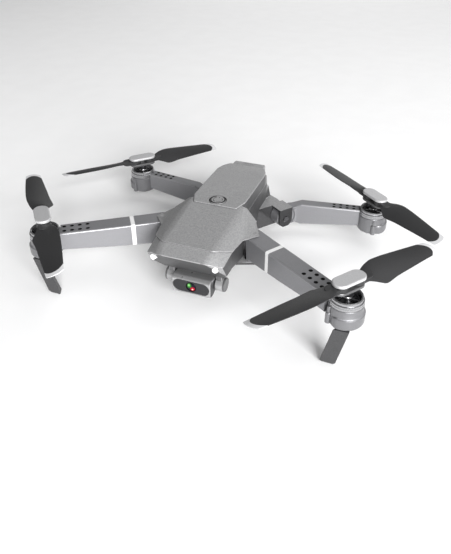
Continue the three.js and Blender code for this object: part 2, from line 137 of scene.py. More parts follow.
def soften(bm, offset, segments=3, least_angle=25, choose=lambda edge: True):
    """Rounds the sharp edges that `choose` accepts."""
    sharp = [
        e for e in bm.edges
        if e.is_manifold and e.calc_face_angle(0) > math.radians(least_angle) and choose(e)
    ]
    bmesh.ops.bevel(
        bm, geom=sharp, offset=offset, offset_type="OFFSET", segments=segments, profile=0.5,
        affect="EDGES", clamp_overlap=False, miter_outer="ARC", miter_inner="SHARP",
    )
    return bm


def fillet(points, radius, steps=4, closed=False):
    """A polyline with each corner turned into an arc no larger than `radius`."""
    path = [Vector(p) for p in points]
    count, out = len(path), []
    for i, corner in enumerate(path):
        if not closed and i in (0, count - 1):
            out.append(corner)
            continue
        before, after = path[i - 1] - corner, path[(i + 1) % count] - corner
        reach = min(radius, before.length * 0.49, after.length * 0.49)
        start, end = corner + before.normalized() * reach, corner + after.normalized() * reach
        for k in range(steps + 1):
            t = k / steps
            out.append(start * (1 - t) ** 2 + corner * 2 * t * (1 - t) + end * t ** 2)
    return out


def lathe(profile, steps=96, swell=None, closed=False):
    """A solid turned about Z from (radius, height) points. swell(angle, height) adds to the radius."""
    bm = bmesh.new()
    rings = []
    for radius, height in profile:
        if radius < 1e-6:
            rings.append([bm.verts.new((0, 0, height))])
            continue
        ring = []
        for k in range(steps):
            angle = 2 * math.pi * k / steps
            r = radius + (swell(angle, height) if swell else 0)
            ring.append(bm.verts.new((r * math.cos(angle), r * math.sin(angle), height)))
        rings.append(ring)
    pairs = list(zip(rings, rings[1:])) + ([(rings[-1], rings[0])] if closed else [])
    for low, high in pairs:
        for k in range(steps):
            nxt = (k + 1) % steps
            corners = [low[k % len(low)], low[nxt % len(low)], high[nxt % len(high)], high[k % len(high)]]
            unique = list(dict.fromkeys(corners))
            if len(unique) > 2:
                bm.faces.new(unique)
    bmesh.ops.recalc_face_normals(bm, faces=bm.faces)
    return bm


def turned(points, radius, steps):
    """A lathed solid whose profile's corners are rounded."""
    return lathe([(p.x, p.y) for p in fillet(points, radius)], steps)


def upright(radius, low, high, steps):
    """A plain round solid with its axis on Z: a pin, a disc or the tool for a hole."""
    return lathe([(0, low), (radius, low), (radius, high), (0, high)], steps)


def loft(loops):
    """A closed skin through loops of equal length, with its two ends filled."""
    bm = bmesh.new()
    rows = [[bm.verts.new(p) for p in loop] for loop in loops]
    for low, high in zip(rows, rows[1:]):
        for k in range(len(low)):
            nxt = (k + 1) % len(low)
            bm.faces.new((low[k], low[nxt], high[nxt], high[k]))
    bm.faces.new(rows[0])
    bm.faces.new(rows[-1])
    bmesh.ops.recalc_face_normals(bm, faces=bm.faces)
    return bm


def stadium(half_length, radius, steps=20):
    """The outline of a pill lying along X."""
    out = []
    for side in (1, -1):
        for k in range(steps + 1):
            angle = math.radians(-90 + 180 * k / steps)
            x = half_length + radius * math.cos(angle)
            out.append(side * Vector((x, radius * math.sin(angle))))
    return out


def pill(half_length, profile):
    """A pill-shaped plate. profile lists (radius of its round ends, height) from the bottom up."""
    return loft([[(*p, z) for p in stadium(half_length, r)] for r, z in profile])


def moved(bm, matrix):
    bmesh.ops.transform(bm, matrix=matrix, verts=bm.verts)
    if matrix.determinant() < 0:
        bmesh.ops.reverse_faces(bm, faces=bm.faces)
    return bm


def joined(*solids):
    """Several separate solids as one mesh."""
    whole = bmesh.new()
    for solid in solids:
        mesh = bpy.data.meshes.new("part")
        solid.to_mesh(mesh)
        whole.from_mesh(mesh)
        bpy.data.meshes.remove(mesh)
    return whole


def boolean(solid, other, operation):
    """Cuts, joins or intersects two closed solids."""
    made = []
    for bm in (solid, other):
        mesh = bpy.data.meshes.new("operand")
        bm.to_mesh(mesh)
        made.append(bpy.data.objects.new("operand", mesh))
        bpy.context.scene.collection.objects.link(made[-1])
    modifier = made[0].modifiers.new("boolean", "BOOLEAN")
    modifier.operation = operation
    modifier.object = made[1]
    modifier.solver = "MANIFOLD"
    result = made[0].evaluated_get(bpy.context.evaluated_depsgraph_get()).to_mesh()
    out = bmesh.new()
    out.from_mesh(result)
    for operand in made:
        mesh = operand.data
        bpy.data.objects.remove(operand)
        bpy.data.meshes.remove(mesh)
    return out


def cut(solid, *others):
    for other in others:
        solid = boolean(solid, other, "DIFFERENCE")
    return solid


def fused(solid, *others):
    for other in others:
        solid = boolean(solid, other, "UNION")
    return solid


def is_edge(face):
    """True for a narrow strip that turns the corner between two larger faces."""
    longest = max(e.calc_length() for e in face.edges)
    if longest < 2 or face.calc_area() > longest * EDGE_WIDTH:
        return False
    turning = [
        e for e in face.edges
        if e.calc_length() > longest * 0.6 and math.radians(3) < e.calc_face_angle(0) < math.radians(50)
    ]
    return len(turning) > 1


def is_long_edge(face):
    return max(e.calc_length() for e in face.edges) > LONG_EDGE and is_edge(face)


def piece(name, bm, body, material, replaces=(), smooth_angle=32, accents=()):
    """Makes a piece from a mesh in millimetres in the CAD frame, and lets it ride on a CAD body.

    accents lists (material, test): the faces that pass the test take that material instead.
    """
    bmesh.ops.remove_doubles(bm, verts=bm.verts, dist=0.0005)
    for face in bm.faces:
        face.material_index = 0
    if accents:
        bmesh.ops.dissolve_limit(bm, angle_limit=math.radians(0.6), verts=bm.verts, edges=bm.edges)
        bm.normal_update()
        for index, (_, test) in enumerate(accents, 1):
            for face in [f for f in bm.faces if test(f)]:
                face.material_index = index
    # remove_doubles leaves the faces in another order each run.
    for number, face in enumerate(sorted(bm.faces, key=lambda f: tuple(f.calc_center_median()))):
        face.index = number
    bm.faces.sort()
    bmesh.ops.scale(bm, vec=(MM,) * 3, verts=bm.verts)
    mesh = bpy.data.meshes.new(name)
    bm.to_mesh(mesh)
    for finish in (material, *(accent for accent, _ in accents)):
        mesh.materials.append(finish)
    mesh.shade_smooth()
    mesh.set_sharp_from_angle(angle=math.radians(smooth_angle))
    obj = bpy.data.objects.new(name, mesh)
    bpy.context.scene.collection.objects.link(obj)
    normals = obj.modifiers.new("even_normals", "WEIGHTED_NORMAL")
    normals.keep_sharp = True
    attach(obj, body)
    if replaces:
        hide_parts(*replaces)


# ---- materials ------------------------------------------------------------------------------------
COAT_ROUGHNESS = 0.1


def shader(name, color, roughness, metallic=0.0, coat=0.0):
    """A material, and with it its nodes, its links and its Principled shader."""
    material = bpy.data.materials.new(name)
    material.use_nodes = True
    nodes = material.node_tree.nodes
    bsdf = nodes["Principled BSDF"]
    bsdf.inputs["Base Color"].default_value = (*color, 1)
    bsdf.inputs["Roughness"].default_value = roughness
    bsdf.inputs["Metallic"].default_value = metallic
    bsdf.inputs["Coat Weight"].default_value = coat
    bsdf.inputs["Coat Roughness"].default_value = COAT_ROUGHNESS
    return material, nodes, material.node_tree.links, bsdf


def noise(nodes, links, scale, detail=2.0):
    """Noise in the object's own space; scale is in features per metre."""
    where = nodes.new("ShaderNodeTexCoord")
    texture = nodes.new("ShaderNodeTexNoise")
    texture.inputs["Scale"].default_value = scale
    texture.inputs["Detail"].default_value = detail
    links.new(where.outputs["Object"], texture.inputs["Vector"])
    return texture.outputs["Fac"]


def ramp(nodes, links, value, stops):
    """Colours along a value; stops are (position, colour)."""
    node = nodes.new("ShaderNodeValToRGB")
    while len(node.color_ramp.elements) < len(stops):
        node.color_ramp.elements.new(0.5)
    for element, (position, color) in zip(node.color_ramp.elements, stops):
        element.position = position
        element.color = (*color, 1)
    links.new(value, node.inputs["Fac"])
    return node.outputs["Color"]


def spread(nodes, links, value, low, high):
    """A value from 0.3..0.7 noise mapped to low..high."""
    node = nodes.new("ShaderNodeMapRange")
    node.inputs["From Min"].default_value = 0.3
    node.inputs["From Max"].default_value = 0.7
    node.inputs["To Min"].default_value = low
    node.inputs["To Max"].default_value = high
    links.new(value, node.inputs["Value"])
    return node.outputs["Result"]


def bump(nodes, links, bsdf, height, strength, distance):
    node = nodes.new("ShaderNodeBump")
    node.inputs["Strength"].default_value = strength
    node.inputs["Distance"].default_value = distance
    links.new(height, node.inputs["Height"])
    links.new(node.outputs["Normal"], bsdf.inputs["Normal"])


def fleck_paint(name, color, fleck=0.12, roughness=0.38, metallic=0.55, grain=2600):
    """Satin paint with a fine metallic fleck, slightly rough like sprayed plastic."""
    material, nodes, links, bsdf = shader(name, color, roughness, metallic)
    speck = noise(nodes, links, grain, 3)
    cloud = noise(nodes, links, 60, 2)
    dark = tuple(c * (1 - fleck) for c in color)
    light = tuple(min(1, c * (1 + fleck)) for c in color)
    tone = ramp(nodes, links, speck, [(0.32, dark), (0.5, color), (0.68, light)])
    links.new(tone, bsdf.inputs["Base Color"])
    links.new(spread(nodes, links, cloud, roughness - 0.04, roughness + 0.04), bsdf.inputs["Roughness"])
    bump(nodes, links, bsdf, speck, 0.12, 0.00008)
    return material


def moulded(name, color, roughness=0.55, grain=1500, strength=0.2, variation=0.1, specular=0.5):
    """Moulded plastic with a fine spark-eroded grain."""
    material, nodes, links, bsdf = shader(name, color, roughness)
    texture = noise(nodes, links, grain, 4)
    cloud = noise(nodes, links, 35, 2)
    dark = tuple(c * (1 - variation) for c in color)
    light = tuple(min(1, c * (1 + variation)) for c in color)
    links.new(ramp(nodes, links, cloud, [(0.35, dark), (0.65, light)]), bsdf.inputs["Base Color"])
    links.new(spread(nodes, links, texture, roughness - 0.06, roughness + 0.06), bsdf.inputs["Roughness"])
    bump(nodes, links, bsdf, texture, strength, 0.0001)
    bsdf.inputs["Specular IOR Level"].default_value = specular
    return material


def turned_metal(name, color, roughness=0.28, metallic=1.0, rings=5200):
    """Metal or metallic lacquer with fine lines around the rotor's axis, stacked in height."""
    material, nodes, links, bsdf = shader(name, color, roughness, metallic)
    where = nodes.new("ShaderNodeTexCoord")
    stretch = nodes.new("ShaderNodeMapping")
    stretch.inputs["Scale"].default_value = (0.02, 0.02, 1)
    links.new(where.outputs["Object"], stretch.inputs["Vector"])
    texture = nodes.new("ShaderNodeTexNoise")
    texture.inputs["Scale"].default_value = rings
    links.new(stretch.outputs["Vector"], texture.inputs["Vector"])
    fac = texture.outputs["Fac"]
    links.new(spread(nodes, links, fac, roughness - 0.05, roughness + 0.07), bsdf.inputs["Roughness"])
    dark = tuple(c * 0.9 for c in color)
    links.new(ramp(nodes, links, fac, [(0.35, dark), (0.65, color)]), bsdf.inputs["Base Color"])
    bump(nodes, links, bsdf, fac, 0.06, 0.00005)
    return material


def reflection_spot(nodes, links, place, centre, radius, tint):
    """A mix that gives the tint within a soft-edged spot of painted reflection, and its own A colour
    elsewhere.
    """
    distance = nodes.new("ShaderNodeVectorMath")
    distance.operation = "DISTANCE"
    distance.inputs[1].default_value = centre
    links.new(place, distance.inputs[0])
    edge = nodes.new("ShaderNodeMapRange")
    edge.interpolation_type = "SMOOTHSTEP"
    edge.inputs["From Min"].default_value = radius
    edge.inputs["From Max"].default_value = radius * 0.45
    links.new(distance.outputs["Value"], edge.inputs["Value"])
    mix = nodes.new("ShaderNodeMix")
    mix.data_type = "RGBA"
    mix.inputs["B"].default_value = (*tint, 1)
    links.new(edge.outputs["Result"], mix.inputs["Factor"])
    return mix


def lens_glass():
    """Dark glass with painted reflections of its coating: green at the upper left and red at the lower
    right, each with a smaller, paler painted highlight.
    """
    glass = (0.004, 0.004, 0.012)
    spots = [  # place on the lens in mm, radius in mm, colour
        ((-1.25, 1.0), 2.1, (0.03, 0.17, 0.02)),
        ((1.2, -1.15), 1.9, (0.32, 0.004, 0.015)),
        # smaller painted highlights within the green and the red spots
        ((-1.25, 1.25), 1.0, (0.20, 0.50, 0.17)),
        ((1.05, -1.4), 0.6, (0.95, 0.6, 0.5)),
    ]
    material, nodes, links, bsdf = shader("lens_glass", glass, 0.08)
    bsdf.inputs["Specular IOR Level"].default_value = 0.2
    centre = sum(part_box("camera_lens"), Vector()) / 2
    where = nodes.new("ShaderNodeTexCoord")
    flat = nodes.new("ShaderNodeVectorMath")
    flat.operation = "MULTIPLY_ADD"
    flat.inputs[1].default_value = (1, 0, 1)
    flat.inputs[2].default_value = (0, centre.y, 0)
    links.new(where.outputs["Object"], flat.inputs[0])
    color = None
    for (across, up), radius, tint in spots:
        at = centre + Vector((across, 0, up)) * MM
        mix = reflection_spot(nodes, links, flat.outputs["Vector"], at, radius * MM, tint)
        mix.inputs["A"].default_value = (*glass, 1)
        if color is not None:
            links.new(color, mix.inputs["A"])
        color = mix.outputs["Result"]
    links.new(color, bsdf.inputs["Base Color"])
    return material


def lamp_plastic():
    """Milky white plastic that glows faintly."""
    material, nodes, links, bsdf = shader("lamp_plastic", (0.93, 0.93, 0.93), 0.25, 0.0, 0.4)
    cloud = noise(nodes, links, 900)
    links.new(ramp(nodes, links, cloud, [(0.3, (0.9, 0.9, 0.9)), (0.7, (0.96, 0.96, 0.96))]),
              bsdf.inputs["Base Color"])
    bsdf.inputs["Emission Color"].default_value = (1, 1, 1, 1)
    bsdf.inputs["Emission Strength"].default_value = 0.2
    return material


def circuit_board():
    """Green solder mask with paler traces."""
    material, nodes, links, bsdf = shader("circuit_board", (0.02, 0.13, 0.05), 0.35)
    where = nodes.new("ShaderNodeTexCoord")
    brick = nodes.new("ShaderNodeTexBrick")
    brick.inputs["Scale"].default_value = 260
    brick.inputs["Mortar Size"].default_value = 0.03
    brick.inputs["Color1"].default_value = (0.015, 0.12, 0.045, 1)
    brick.inputs["Color2"].default_value = (0.02, 0.15, 0.05, 1)
    brick.inputs["Mortar"].default_value = (0.08, 0.28, 0.12, 1)
    links.new(where.outputs["Object"], brick.inputs["Vector"])
    links.new(brick.outputs["Color"], bsdf.inputs["Base Color"])
    return material


SHELL = fleck_paint("shell_paint", (0.30, 0.30, 0.304), 0.18, 0.46, 0.3, 1300)
# Dark paint of the legs and the belly, and painted shade on the faces of the shells and the camera that turn
# away from the light.
DARK_PAINT_AND_SHADE = fleck_paint("dark_paint_and_painted_shade", (0.062, 0.062, 0.064), 0.15, 0.42, 0.4, 1600)
# Paler paint for narrow edge strips: painted highlights along the edges.
EDGE_HIGHLIGHT = fleck_paint("painted_edge_highlight", (0.50, 0.50, 0.505), 0.06, 0.32, 0.5, 2600)
# Paler arm paint for the arms' long edge strips: painted highlights.
ARM_EDGE_HIGHLIGHT = fleck_paint("arm_edge_highlight", (0.30, 0.30, 0.31), 0.06, 0.34, 0.5, 2600)
PLATE = fleck_paint("rotor_plate", (0.13, 0.13, 0.133), 0.08, 0.34, 0.5, 2600)
CAMERA_PAINT = fleck_paint("camera_paint", (0.40, 0.40, 0.405), 0.06, 0.28, 0.6, 3200)
DRUM_PAINT = fleck_paint("drum_paint", (0.15, 0.15, 0.153), 0.06, 0.28, 0.6, 3200)
POD_PAINT = fleck_paint("pod_paint", (0.21, 0.21, 0.218), 0.06, 0.33, 0.65, 3200)
ARM = fleck_paint("arm_paint", (0.222, 0.222, 0.232), 0.08, 0.42, 0.4, 3000)
CAP = fleck_paint("cap_paint", (0.50, 0.50, 0.508), 0.12, 0.38, 0.35, 2600)
COLLAR_PAINT = turned_metal("collar_lacquer", (0.42, 0.42, 0.43), 0.2, 0.85)
STEEL = turned_metal("pin_steel", (0.62, 0.62, 0.63), 0.25)
MOTOR = turned_metal("motor_black", (0.10, 0.10, 0.105), 0.26, 0.8)
BLADE = moulded("blade_plastic", (0.020, 0.020, 0.021), 0.50, 1800, 0.15)
TIP = moulded("blade_tip", (0.62, 0.62, 0.63), 0.35, 1800, 0.05, 0.03)
STRIPE_WHITE = moulded("stripe_white", (0.72, 0.72, 0.72), 0.4, 2200, 0.05, 0.03)
# Dark plastic for the button's marks, and painted shade on the rear fork plates.
BLACK_AND_SHADE = moulded("dark_plastic_and_painted_shade", (0.012, 0.012, 0.013), 0.5, 2200, 0.1)
# Matte black for the lens ring, and painted shade in the arms' vents.
BLACK_AND_VENT_SHADE = moulded("matte_black_and_vent_shade", (0.004, 0.004, 0.004), 0.7, 2200, 0.1, 0.1, 0.04)
GLOSS_BLACK = moulded("window_gloss", (0.026, 0.026, 0.028), 0.2, 2400, 0.02, 0.06, 0.25)
LENS = lens_glass()
LAMP = lamp_plastic()
BOARD = circuit_board()


# ---- airframe -------------------------------------------------------------------------------------
def grown(bm, amount):
    """The solid with each point pushed out along its normal."""
    bm = bm.copy()
    bm.normal_update()
    for vert, normal in [(v, v.normal.copy()) for v in bm.verts]:
        vert.co += normal * amount
    return bm


def rounded_ridge(bm):
    """Rounds the two long edges between the flat top and the sloping sides far more than the others."""
    def on_ridge(edge):
        a, b = (v.co for v in edge.verts)
        long_enough = abs(a.y - b.y) > 8
        return min(a.z, b.z) > SKIN_Z and long_enough and max(abs(a.x), abs(b.x)) < SKIN_HALF
    return soften(bm, 2.6, 7, 10, on_ridge)


def on_upper_skin(point):
    """True for the corners of the upper shell proper, and not for those of its two ears."""
    return abs(point.x) < SKIN_HALF or (abs(point.x) < 27.6 and point.z < 35.3)


def upper_hull():
    return rounded_ridge(hull(points_of("upper_shell", on_upper_skin)))


def rear_hull():
    return soften(hull(points_of("rear_cover")), 0.8, 4, 14)


def in_shade_of_brow(face):
    """True for the nose's dark lower face and flanks, but not for the pale corners around the lamps."""
    across, ahead, up = face.normal
    return up < 0.1 and (ahead < -0.3 and abs(across) < 0.2 or abs(across) > 0.6)


def on_rear_fork(face):
    """True for the upright outer faces of the rear hinges' fork plates."""
    at = face.calc_center_median()
    return abs(at.x) > FORK["from_x"] and at.y > FORK["from_y"] and abs(face.normal.z) < 0.4


def ear(side):
    """The low cover over a front arm's hinge, beside the upper shell."""
    corners = points_of("upper_shell", lambda p: side * p.x > EAR["inner_x"] and p.z > SKIN_Z)
    lowered = []
    for p in corners:
        x = EAR["inner_x"] + (abs(p.x) - EAR["inner_x"]) * EAR["width_scale"]
        z = EAR["base_z"] + (p.z - EAR["base_z"]) * EAR["height_scale"]
        lowered.append((side * x, p.y, z))
    return soften(hull(lowered), 0.25, 2)


def lamp_well(hand):
    """A bore for the lamp with a wider scoop in front of it."""
    bore, scoop = LAMP_SIZE["well_r"], LAMP_SIZE["scoop_r"]
    profile = [(0, -5), (bore, -5), (bore, 0.3), (scoop, 0.3), (scoop, 6), (0, 6)]
    return moved(lathe(profile, 48), lamp_place(hand))


def add_nose_cap(upper):
    nose = rounded_ridge(hull(points_of("nose_cap")))
    nose = soften(nose, 0.5, 3, 24)
    nose = cut(nose, grown(upper, SEAM), lamp_well("right"), lamp_well("left"))
    # The nose's lower face and flanks take the dark paint as painted shade, and its long edge strips the
    # paler paint as painted highlights.
    piece("nose_cap_fine", nose, "airframe", SHELL, ["nose_cap"],
          accents=[(DARK_PAINT_AND_SHADE, in_shade_of_brow), (EDGE_HIGHLIGHT, is_long_edge)])


def add_upper_shell(upper, rear):
    upper = cut(upper, grown(rear, 0.25))
    for side in (1, -1):
        below_skin = [(side * x, y, z) for x in (24.3, 60) for y in (-60, 0) for z in (20, SKIN_Z)]
        upper = cut(upper, hull(below_skin))
    upper = fused(upper, ear(1), ear(-1))
    piece("upper_shell_fine", upper, "airframe", SHELL, ["upper_shell"])


def add_rear_cover(rear):
    """The rear cover, open behind for the battery and bored for the button."""
    low, high = (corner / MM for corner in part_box("battery_pack"))
    gap = BAY["gap"]
    bay = box((low.x - gap, BAY["front_y"], BAY["floor_z"]), (high.x + gap, BAY["rear_y"], high.z + 0.1))
    well = moved(upright(BUTTON["well_r"], -4, 4, 72), button_place(0))
    # The cover's upright sides take the dark paint as painted shade.
    piece("rear_cover_fine", cut(rear, bay, well), "airframe", SHELL, ["rear_cover"],
          accents=[(DARK_PAINT_AND_SHADE, lambda face: abs(face.normal.z) < 0.3)])


def add_lower_shell():
    lower = soften(from_cad("lower_shell"), 0.3, 2, 28, lambda e: e.calc_length() > 1.2)
    # Its upward faces take the paler shell paint as painted light, and the rear fork plates' upright faces
    # take black as painted shade.
    piece("lower_shell_fine", lower, "airframe", DARK_PAINT_AND_SHADE, ["lower_shell"],
          accents=[(SHELL, lambda face: face.normal.z > 0.4), (BLACK_AND_SHADE, on_rear_fork)])


def add_shells():
    upper, rear = upper_hull(), rear_hull()
    add_nose_cap(upper)
    add_upper_shell(upper, rear)
    add_rear_cover(rear)
    add_lower_shell()


def lamp_place(hand):
    """The lamp's own frame: +Z looks forward and outward from the corner of the nose."""
    low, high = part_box(f"nose_lamp_{hand}")
    angle = math.radians(LAMP_SIZE["azimuth"])
    forward = Vector((side_of(hand) * math.cos(angle), -math.sin(angle), 0))
    front = (low + high) / 2 / MM + forward * LAMP_SIZE["stand_out"]
    return Matrix.Translation(front) @ forward.to_track_quat("Z", "Y").to_matrix().to_4x4()


def add_lamps():
    r = LAMP_SIZE["bulb_r"]
    for hand in ("right", "left"):
        bulb = turned([(0, -3), (r, -3), (r, 0.1), (1.5, 0.7), (0.8, 1.0), (0, 1.1)], 0.5, 48)
        piece(f"nose_lamp_{hand}_fine", moved(bulb, lamp_place(hand)), "airframe", LAMP,
              [f"nose_lamp_{hand}"])


def button_place(rise):
    """The middle of the button's top, moved up by `rise`."""
    low, high = (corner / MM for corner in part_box("power_button"))
    centre = (low + high) / 2
    return Matrix.Translation((centre.x, centre.y, high.z + rise))


def arc(radii, start, end):
    """A flat curved strip standing a little proud, from one compass angle to another."""
    inner, outer = radii
    proud = BUTTON["mark_proud"]
    steps = 64
    loops = []
    for k in range(steps + 1):
        angle = math.radians(start + (end - start) * k / steps)
        section = [(inner, -0.2), (outer, -0.2), (outer, proud), (inner, proud)]
        loops.append([(r * math.cos(angle), r * math.sin(angle), z) for r, z in section])
    return loft(loops)


def add_button():
    """A round button with a ring open at the top and a short bar in the opening."""
    place = button_place(0.1)
    r = BUTTON["r"]
    key = lathe([(0, -2.4), (r, -2.4), (r, -0.3), (r - 0.2, -0.05), (r - 0.55, 0), (0, 0)], 96)
    piece("power_button_fine", moved(key, place), "power_button", SHELL, ["power_button"])

    dashes = [arc(BUTTON["inner_mark_r"], start, end)
              for start, end in ((128, 180), (200, 250), (270, 330), (350, 412))]
    bar = box((-0.2, 2.2, -0.2), (0.2, 3.6, BUTTON["mark_proud"]))
    mark = joined(arc(BUTTON["mark_r"], 118, 422), *dashes, bar)
    piece("power_mark", moved(mark, place), "power_button", BLACK_AND_SHADE)


def add_battery():
    def outer(edge):
        """True away from the catch's pocket, which keeps its sharp rim."""
        return edge.calc_length() > 1.2 and min(abs(v.co.x) for v in edge.verts) > 4.5

    pack = soften(from_cad("battery_pack"), 0.45, 3, 28, outer)
    piece("battery_pack_fine", pack, "battery", SHELL, ["battery_pack"])


def add_catch():
    """A plain key that nearly fills its pocket, with three ribs across it."""
    low, high = (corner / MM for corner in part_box("battery_catch"))
    grow = Vector((0.2, 0.2, 0))
    key = soften(box(low - grow, high + grow - Vector((0, 0, 0.3))), 0.25, 3, 28)
    ribs = [
        soften(box((low.x + 0.8, y, high.z - 0.5), (high.x - 0.8, y + 0.4, high.z)), 0.1, 2)
        for y in (low.y + 0.9, low.y + 1.8, low.y + 2.7)
    ]
    piece("battery_catch_fine", joined(key, *ribs), "battery_catch", SHELL, ["battery_catch"])


# ---- camera ---------------------------------------------------------------------------------------
def rod(profile, steps=72):
    """A turned solid lying along X."""
    return moved(lathe(profile, steps), Matrix.Rotation(math.pi / 2, 4, "Y"))


def case_outline(front, tilt):
    """The case seen from the side as (y, z): a flat front and a round back about the tilt axis."""
    start, end, steps = math.radians(100), math.radians(-95), 20
    barrel = []
    for k in range(steps + 1):
        angle = start + (end - start) * k / steps
        barrel.append((tilt.y + BARREL_R * math.cos(angle), tilt.z + BARREL_R * math.sin(angle)))
    face = [(front, CASE["low"]), (front, CASE["front_top"]), (CASE["back_y"], CASE["back_top"])]
    return fillet(face + barrel + [(CASE["back_y"], CASE["back_low"])], 1.0, 4, closed=True)


def camera_case(outline, half):
    """The outline carried across the camera's width, drawn in a little at both ends."""
    inward = [(0, 0.7), (0.25, 0.25), (0.7, 0)]
    stations = [(-half + x, inset) for x, inset in inward]
    stations += [(half - x, inset) for x, inset in reversed(inward)]
    middle = sum(outline, Vector((0, 0))) / len(outline)
    loops = []
    for x, inset in stations:
        shrunk = [middle + (p - middle) * (1 - inset / 6) for p in outline]
        loops.append([(x, p.x, p.y) for p in shrunk])
    return loft(loops)


def add_camera_head():
    tilt = Vector(joints["camera_tilt"]["pos_m"]) / MM
    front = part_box("camera_window")[0].y / MM
    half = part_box("camera_body")[1].x / MM
    face = Matrix.Translation((0, front, CASE["face_z"])) @ Matrix.Rotation(math.pi / 2, 4, "X")
    seat_r, seat_half = WINDOW["r"] + WINDOW["seat"], WINDOW["half_length"] + WINDOW["seat"]
    seat = moved(pill(seat_half, [(seat_r, -0.9), (seat_r, 2)]), face)
    bore = moved(rod([(0, -20), (2.1, -20), (2.1, 20), (0, 20)]), Matrix.Translation(tilt))
    case = cut(camera_case(case_outline(front, tilt), half), seat, bore)
    # The case's two ends take the dark paint as painted shade, and its narrow edge strips the paler paint as
    # painted highlights.
    piece("camera_body_fine", case, "camera", CAMERA_PAINT, ["camera_body"],
          accents=[(DARK_PAINT_AND_SHADE, lambda face: abs(face.normal.x) > 0.9), (EDGE_HIGHLIGHT, is_edge)])

    r = WINDOW["r"]
    glass = pill(WINDOW["half_length"], [(r, -0.85), (r, -0.25), (r - 0.15, -0.12)])
    glass = cut(glass, upright(LENS_SIZE["well_r"], -2, 2, 64))
    piece("camera_window_fine", moved(glass, face), "camera", GLOSS_BLACK, ["camera_window"])
    add_lens(face)


def add_lens(face):
    """A domed lens in a dark ring; face is the front's own frame, with +Z forward."""
    profile = [(2.7, -1.2), (3.3, -1.2), (3.3, -0.1), (3.2, 0.02), (2.95, 0.02), (2.8, -0.4)]
    ring = lathe(profile, 72, closed=True)
    piece("lens_ring", moved(ring, face), "camera", BLACK_AND_VENT_SHADE)

    r, rise, seat = LENS_SIZE["r"], LENS_SIZE["rise"], LENS_SIZE["seat"]
    dome = [(0, -1.5), (r, -1.5), (r, seat)]
    for angle in range(10, 90, 10):
        dome.append((r * math.cos(math.radians(angle)), seat + rise * math.sin(math.radians(angle))))
    lens = lathe(dome + [(0, seat + rise)], 72)
    piece("camera_lens_fine", moved(lens, face), "camera", LENS, ["camera_lens"])


def add_camera_axle():
    """The rod the camera tilts on, with a drum and a hanger at each end."""
    tilt = Vector(joints["camera_tilt"]["pos_m"]) / MM
    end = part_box("camera_axle")[1].x / MM
    half, r, rim = AXLE["half"], AXLE["drum_r"], AXLE["rim_r"]
    solids = [rod([(0, -half), (AXLE["r"], -half), (AXLE["r"], half), (0, half)], 48)]
    profile = [
        (0, AXLE["drum_from"]), (r - 0.4, AXLE["drum_from"]), (r, AXLE["drum_from"] + 0.4), (r, end - 1.3),
        (rim, end - 1.15), (rim, end - 0.95), (r, end - 0.8), (r, end - 0.35), (r - 0.35, end), (0, end),
    ]
    for side in (1, -1):
        to_side = Matrix.Scale(side, 4, (1, 0, 0))
        hanger = soften(box(*HANGER), 0.3, 2)
        solids += [moved(rod(profile), to_side), moved(hanger, to_side)]
    axle = moved(joined(*solids), Matrix.Translation(tilt))
    # The drums' narrow edge strips take the paler camera paint as painted highlights.
    piece("camera_axle_fine", axle, "airframe", DRUM_PAINT, ["camera_axle"],
          accents=[(CAMERA_PAINT, is_edge)])


# ---- arms -----------------------------------------------------------------------------------------
def hub_of(corner):
    """The point on the rotor's axis at the top of the collar."""
    low, high = (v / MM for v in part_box(f"collar_{corner}"))
    return Vector(((low.x + high.x) / 2, (low.y + high.y) / 2, high.z))


def side_of(hand):
    return 1 if hand == "right" else -1


def arm_line(end, hand):
    """The start and direction of the arm's straight beam, in plan."""
    side = side_of(hand)
    x, y = ARM_START[end]
    angle = math.radians(ARM_AZIMUTH[end])
    return Vector((side * x, y, 0)), Vector((side * math.cos(angle), math.sin(angle), 0))


def pod_solid(outward):
    """The motor pod below the collar, fuller on its outer half, with z from the collar's top."""
    seat, bottom, r = -POD["seat"], -POD["depth"], POD["r"]
    foot = fillet([(0, bottom), (r - 1.2, bottom), (r, bottom + 1.2), (r, bottom + 3)], 1.2, 4)
    heights = [-12, -10.9, -10.6, -10.3, -10.0, -9.8, -9.6, -9.4, -9.2, -9.0, -8.7, -8.3]
    outline = [(p.x, p.y) for p in foot] + [(r, z) for z in heights]
    outline += [(r, seat - 0.25), (r - 0.25, seat), (0, seat)]

    def swell(angle, height):
        """The ledge stands proud on the outer half and dies away towards the arm."""
        side = min(1, max(0, (math.cos(angle - outward) + 0.15) / 0.5))
        side = side * side * (3 - 2 * side)
        ledge = -POD["ledge"] - 0.9 * (1 - side)
        rise = min(1, max(0, (ledge - height) / 0.5))
        return POD["bulge"] * side * rise if height < seat - 0.3 else 0

    return lathe(outline, 128, swell)


def on_pod(face, hub):
    return (face.calc_center_median() - hub).xy.length < POD["r"] + 2.2 and abs(face.normal.z) < 0.9


